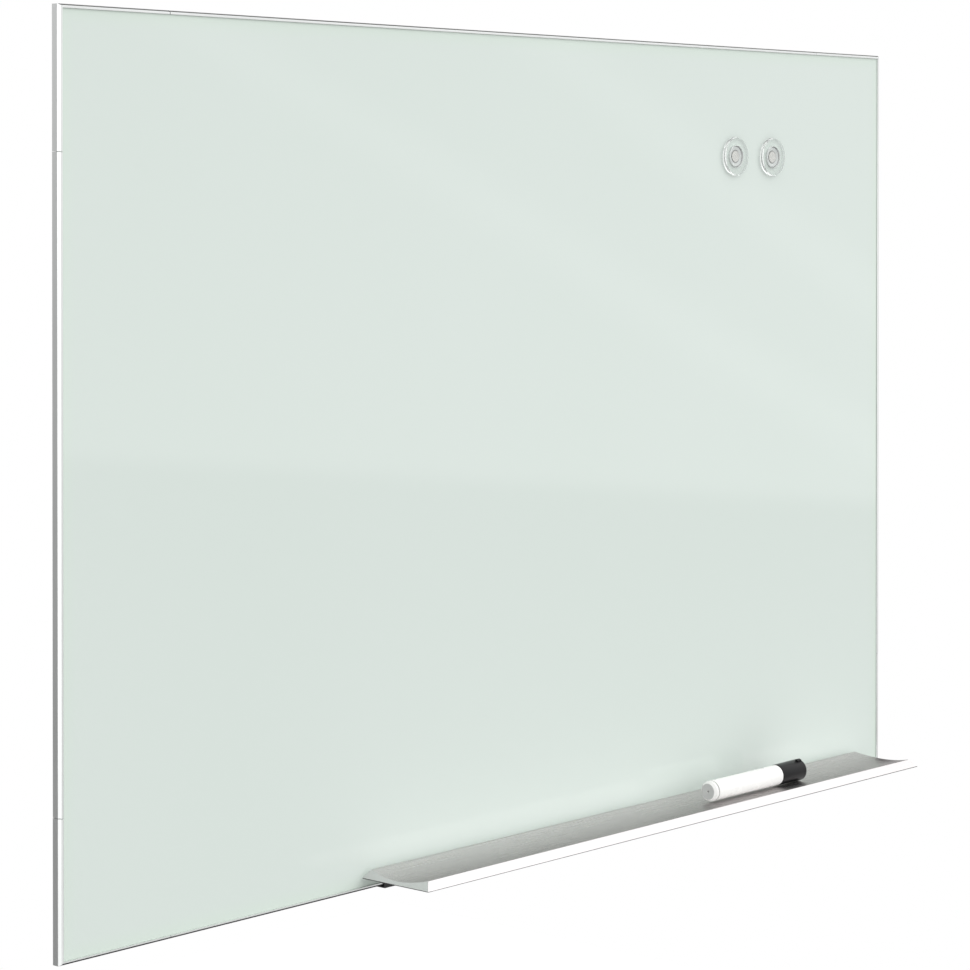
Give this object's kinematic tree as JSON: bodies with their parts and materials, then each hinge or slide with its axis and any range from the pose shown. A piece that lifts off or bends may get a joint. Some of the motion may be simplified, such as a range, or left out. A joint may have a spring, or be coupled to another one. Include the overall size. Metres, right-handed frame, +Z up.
{
  "type": "glass whiteboard",
  "caption": "Wall-hung magnetic glass whiteboard with a slim aluminium frame, a clip-on pen tray, a capped marker and round clear magnets.",
  "frame": {"origin": "middle of the wall rail's back face, where it lies on the wall", "axes": "+X to the right along the board as a reader faces it, +Y into the wall, +Z up; the board's front faces -Y"},
  "size_m": [0.9144, 0.0805, 0.611],
  "materials": {
    "glass": "polished, painted white on its back",
    "adhesive_film": "matte",
    "galvanised_steel": "galvanised",
    "anodised_aluminium": "satin anodised",
    "mill_aluminium": "as extruded",
    "zinc_plated_steel": "zinc plated",
    "black_rubber": "matte",
    "black_plastic": "satin moulded",
    "white_plastic": "gloss moulded",
    "grey_plastic": "satin moulded",
    "black_felt": "matte",
    "clear_acrylic": "clear polished",
    "nickel_plated_magnet": "nickel plated"
  },
  "bodies": {
    "wall": {"wall_rail": "mill_aluminium"},
    "board": {"board_rail": "mill_aluminium", "rail_nut_1": "zinc_plated_steel", "rail_nut_2": "zinc_plated_steel", "rail_nut_3": "zinc_plated_steel", "rail_nut_4": "zinc_plated_steel", "glass_panel": "glass", "bonding_film": "adhesive_film", "steel_backing": "galvanised_steel", "frame_rail_top": "anodised_aluminium", "frame_rail_bottom": "anodised_aluminium", "frame_rail_left": "anodised_aluminium", "frame_rail_right": "anodised_aluminium", "frame_corner_top_left": "anodised_aluminium", "frame_corner_top_right": "anodised_aluminium", "frame_corner_bottom_left": "anodised_aluminium", "frame_corner_bottom_right": "anodised_aluminium", "joint_strap_top_left_lengthwise": "zinc_plated_steel", "joint_strap_top_left_upright": "zinc_plated_steel", "joint_strap_top_right_lengthwise": "zinc_plated_steel", "joint_strap_top_right_upright": "zinc_plated_steel", "joint_strap_bottom_left_lengthwise": "zinc_plated_steel", "joint_strap_bottom_left_upright": "zinc_plated_steel", "joint_strap_bottom_right_lengthwise": "zinc_plated_steel", "joint_strap_bottom_right_upright": "zinc_plated_steel", "wall_spacer_left": "black_rubber", "wall_spacer_right": "black_rubber"},
    "tray": {"tray_shelf": "anodised_aluminium", "tray_clip_left": "black_plastic", "tray_clip_right": "black_plastic", "tray_screw_left_back": "zinc_plated_steel", "tray_screw_left_front": "zinc_plated_steel", "tray_screw_right_back": "zinc_plated_steel", "tray_screw_right_front": "zinc_plated_steel"},
    "marker": {"marker_barrel": "white_plastic", "marker_end_plug": "white_plastic", "marker_nib_holder": "white_plastic", "marker_nib": "black_felt", "marker_reservoir": "black_felt"},
    "cap": {"marker_cap": "black_plastic"},
    "magnet_left": {"magnet_left_lens": "clear_acrylic", "magnet_left_collar": "grey_plastic", "magnet_left_core": "nickel_plated_magnet"},
    "magnet_right": {"magnet_right_lens": "clear_acrylic", "magnet_right_collar": "grey_plastic", "magnet_right_core": "nickel_plated_magnet"}
  },
  "joints": [
    {"name": "board_lift", "type": "slide", "parent": "wall", "child": "board", "axis": [0, 0, 1], "range_m": [0, 0.011]},
    {"name": "tray_slide", "type": "slide", "parent": "board", "child": "tray", "axis": [1, 0, 0], "range_m": [-0.272, 0.035]},
    {"name": "marker_lift", "type": "slide", "parent": "tray", "child": "marker", "axis": [0, 0, 1], "range_m": [0, 0.06]},
    {"name": "cap_pull", "type": "slide", "parent": "marker", "child": "cap", "axis": [1, 0, 0], "range_m": [0, 0.03]},
    {"name": "magnet_left_pull", "type": "slide", "parent": "board", "child": "magnet_left", "axis": [0, -1, 0], "range_m": [0, 0.03]},
    {"name": "magnet_right_pull", "type": "slide", "parent": "board", "child": "magnet_right", "axis": [0, -1, 0], "range_m": [0, 0.03]}
  ]
}
